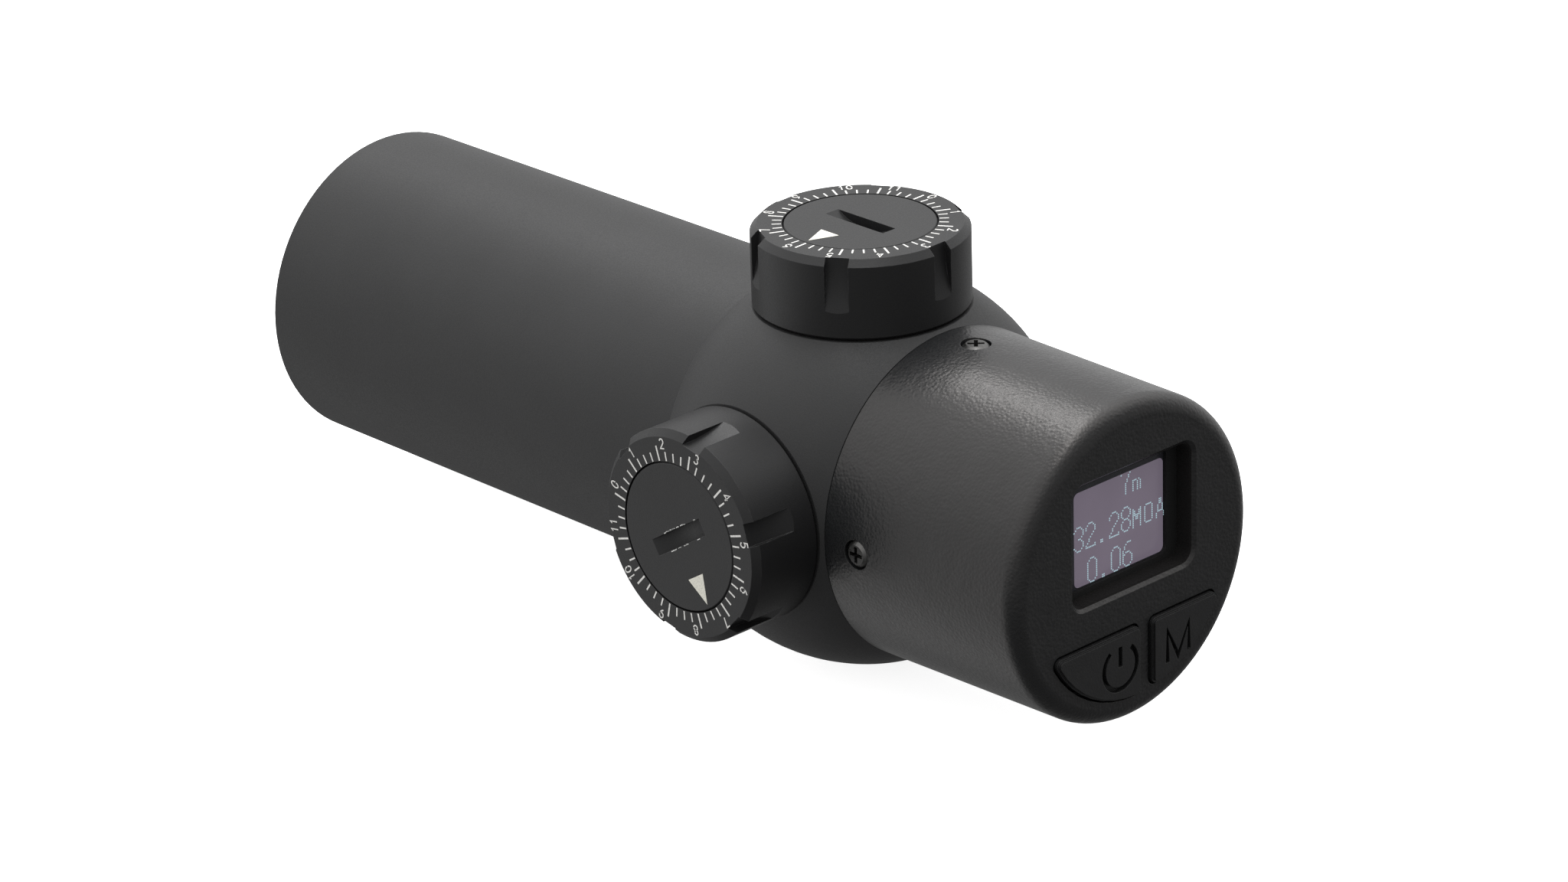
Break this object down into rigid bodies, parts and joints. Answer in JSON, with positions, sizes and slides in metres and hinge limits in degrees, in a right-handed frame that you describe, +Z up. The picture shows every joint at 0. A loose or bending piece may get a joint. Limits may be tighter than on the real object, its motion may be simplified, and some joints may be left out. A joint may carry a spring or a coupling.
{
  "type": "rangefinder sight",
  "caption": "Short tubular rangefinder sight with a clamp tube, top and side adjustment turrets, and a rear housing with a display and buttons.",
  "frame": {"origin": "on the tube axis at the middle of the plain tube length that clamp rings hold", "axes": "+Y forward along the tube, +Z up through the elevation turret, -X to the user's left through the windage turret"},
  "size_m": [0.0469, 0.1126, 0.0469],
  "materials": {
    "body_metal": "matte dark grey anodised",
    "dial_metal": "black satin anodised",
    "moulded_black": "black moulded plastic with a fine grain",
    "button_black": "black, satin",
    "steel": "plain steel",
    "brass": "turned brass",
    "clear_glass": "coated glass",
    "rubber_black": "black rubber",
    "inner_metal": "dark anodised",
    "board_green": "circuit board",
    "display_face": "display panel",
    "sensor_gold": "plated can",
    "battery_wrap": "battery sleeve"
  },
  "bodies": {
    "housing": {"main_housing": "body_metal", "rear_housing": "moulded_black", "housing_screws": "steel", "front_window": "clear_glass", "front_seal": "rubber_black", "front_retaining_ring": "dial_metal", "gimbal_pins": "steel", "bias_spring": "steel", "display_seal": "rubber_black", "display_panel": "display_face", "display_carrier": "moulded_black", "main_board": "board_green", "board_screws": "steel", "power_switch": "moulded_black", "mode_switch": "moulded_black", "button_seal": "rubber_black", "battery": "battery_wrap", "battery_cradle": "moulded_black", "charge_port": "steel", "charge_board": "board_green", "elevation_bushing": "brass", "elevation_click_ring": "steel", "elevation_retainer": "steel", "elevation_dial_seal": "rubber_black", "windage_bushing": "brass", "windage_click_ring": "steel", "windage_retainer": "steel", "windage_dial_seal": "rubber_black"},
    "gimbal": {"gimbal_ring": "inner_metal"},
    "carriage": {"carriage_tube": "inner_metal", "carriage_pins": "steel", "lens_plate": "dial_metal", "emitter_lens": "clear_glass", "receiver_lens": "clear_glass", "laser_emitter": "sensor_gold", "photodiode": "sensor_gold", "ranging_board": "board_green"},
    "power_button": {"power_button": "button_black"},
    "mode_button": {"mode_button": "button_black"},
    "port_cover": {"port_cover": "rubber_black"},
    "elevation_screw": {"elevation_screw": "dial_metal", "elevation_click_ball": "steel"},
    "elevation_plunger": {"elevation_plunger": "steel"},
    "elevation_dial": {"elevation_dial": "dial_metal"},
    "windage_screw": {"windage_screw": "dial_metal", "windage_click_ball": "steel"},
    "windage_plunger": {"windage_plunger": "steel"},
    "windage_dial": {"windage_dial": "dial_metal"}
  },
  "joints": [
    {"name": "elevation_adjust", "type": "hinge", "parent": "housing", "child": "elevation_screw", "pos_m": [0, -0.0434, 0], "axis": [0, 0, 1], "range_deg": [-1080, 1080]},
    {"name": "elevation_zero", "type": "hinge", "parent": "housing", "child": "elevation_dial", "pos_m": [0, -0.0434, 0], "axis": [0, 0, 1], "continuous": true},
    {"name": "elevation_feed", "type": "slide", "parent": "housing", "child": "elevation_plunger", "axis": [0, 0, 1], "range_m": [-0.00061, 0.00061]},
    {"name": "windage_adjust", "type": "hinge", "parent": "housing", "child": "windage_screw", "pos_m": [0, -0.0434, 0], "axis": [-1, 0, 0], "range_deg": [-1080, 1080]},
    {"name": "windage_zero", "type": "hinge", "parent": "housing", "child": "windage_dial", "pos_m": [0, -0.0434, 0], "axis": [-1, 0, 0], "continuous": true},
    {"name": "windage_feed", "type": "slide", "parent": "housing", "child": "windage_plunger", "axis": [-1, 0, 0], "range_m": [-0.00061, 0.00061]},
    {"name": "carriage_yaw", "type": "hinge", "parent": "housing", "child": "gimbal", "pos_m": [0, 0.0139, 0], "axis": [0, 0, 1], "range_deg": [-0.61, 0.61]},
    {"name": "carriage_pitch", "type": "hinge", "parent": "gimbal", "child": "carriage", "pos_m": [0, 0.0139, 0], "axis": [1, 0, 0], "range_deg": [-0.61, 0.61]},
    {"name": "power_press", "type": "slide", "parent": "housing", "child": "power_button", "axis": [0, 1, 0], "range_m": [0, 0.0004], "stiffness_N_per_m": 2500},
    {"name": "mode_press", "type": "slide", "parent": "housing", "child": "mode_button", "axis": [0, 1, 0], "range_m": [0, 0.0004], "stiffness_N_per_m": 2500},
    {"name": "port_cover_pull", "type": "slide", "parent": "housing", "child": "port_cover", "axis": [0, 0, -1], "range_m": [0, 0.006]}
  ],
  "couplings": [
    {"joint": "elevation_feed", "follows": "elevation_adjust", "m_per_rad": 0.000031831},
    {"joint": "carriage_pitch", "follows": "elevation_adjust", "ratio": -0.00055556},
    {"joint": "windage_feed", "follows": "windage_adjust", "m_per_rad": 0.000031831},
    {"joint": "carriage_yaw", "follows": "windage_adjust", "ratio": -0.00055556}
  ]
}
